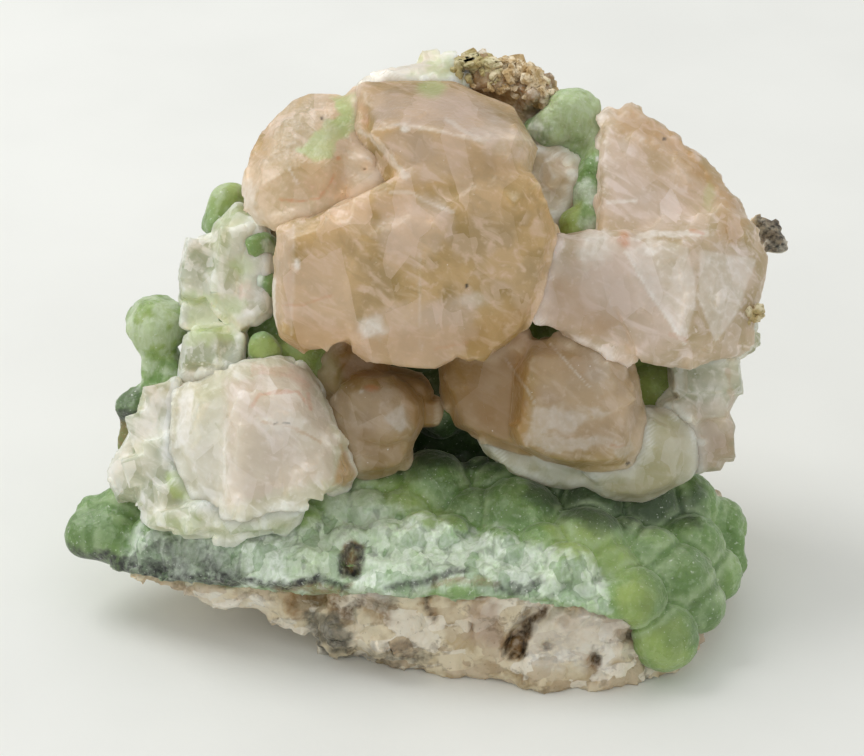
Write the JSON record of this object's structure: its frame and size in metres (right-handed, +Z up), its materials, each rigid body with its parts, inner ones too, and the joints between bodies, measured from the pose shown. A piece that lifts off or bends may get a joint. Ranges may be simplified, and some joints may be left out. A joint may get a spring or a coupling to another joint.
{
  "type": "calcite specimen",
  "caption": "Cluster of peach calcite crystals on a green botryoidal crust over light vuggy rock, free-standing display specimen.",
  "frame": {"origin": "centre of the bounding box, on the table under the specimen", "axes": "+Z up, +X to the right along the width as seen from the front, -Y towards the viewer"},
  "size_m": [0.1249, 0.0751, 0.0863],
  "materials": {
    "calcite_peach": "translucent peach calcite, waxy to glassy, natural faces",
    "calcite_pale": "translucent white to pinkish calcite, natural faces",
    "prehnite": "green botryoidal prehnite crust, grainy and waxy",
    "matrix_rock": "light tan vuggy carbonate rock with dark basalt and rust, broken"
  },
  "bodies": {
    "root": {"matrix_rock": "matrix_rock", "prehnite_crust": "prehnite", "prehnite_knobs": "prehnite", "calcite_centre": "calcite_peach", "calcite_upper_left": "calcite_peach", "calcite_groove": "calcite_pale", "calcite_right": "calcite_peach", "calcite_right_stack": "calcite_pale", "calcite_egg": "calcite_peach", "calcite_pale_lobe": "calcite_pale", "calcite_small": "calcite_peach", "calcite_white_block": "calcite_pale", "calcite_left_lumps": "calcite_pale", "calcite_left_stack": "calcite_pale", "calcite_top": "calcite_pale"}
  },
  "joints": []
}
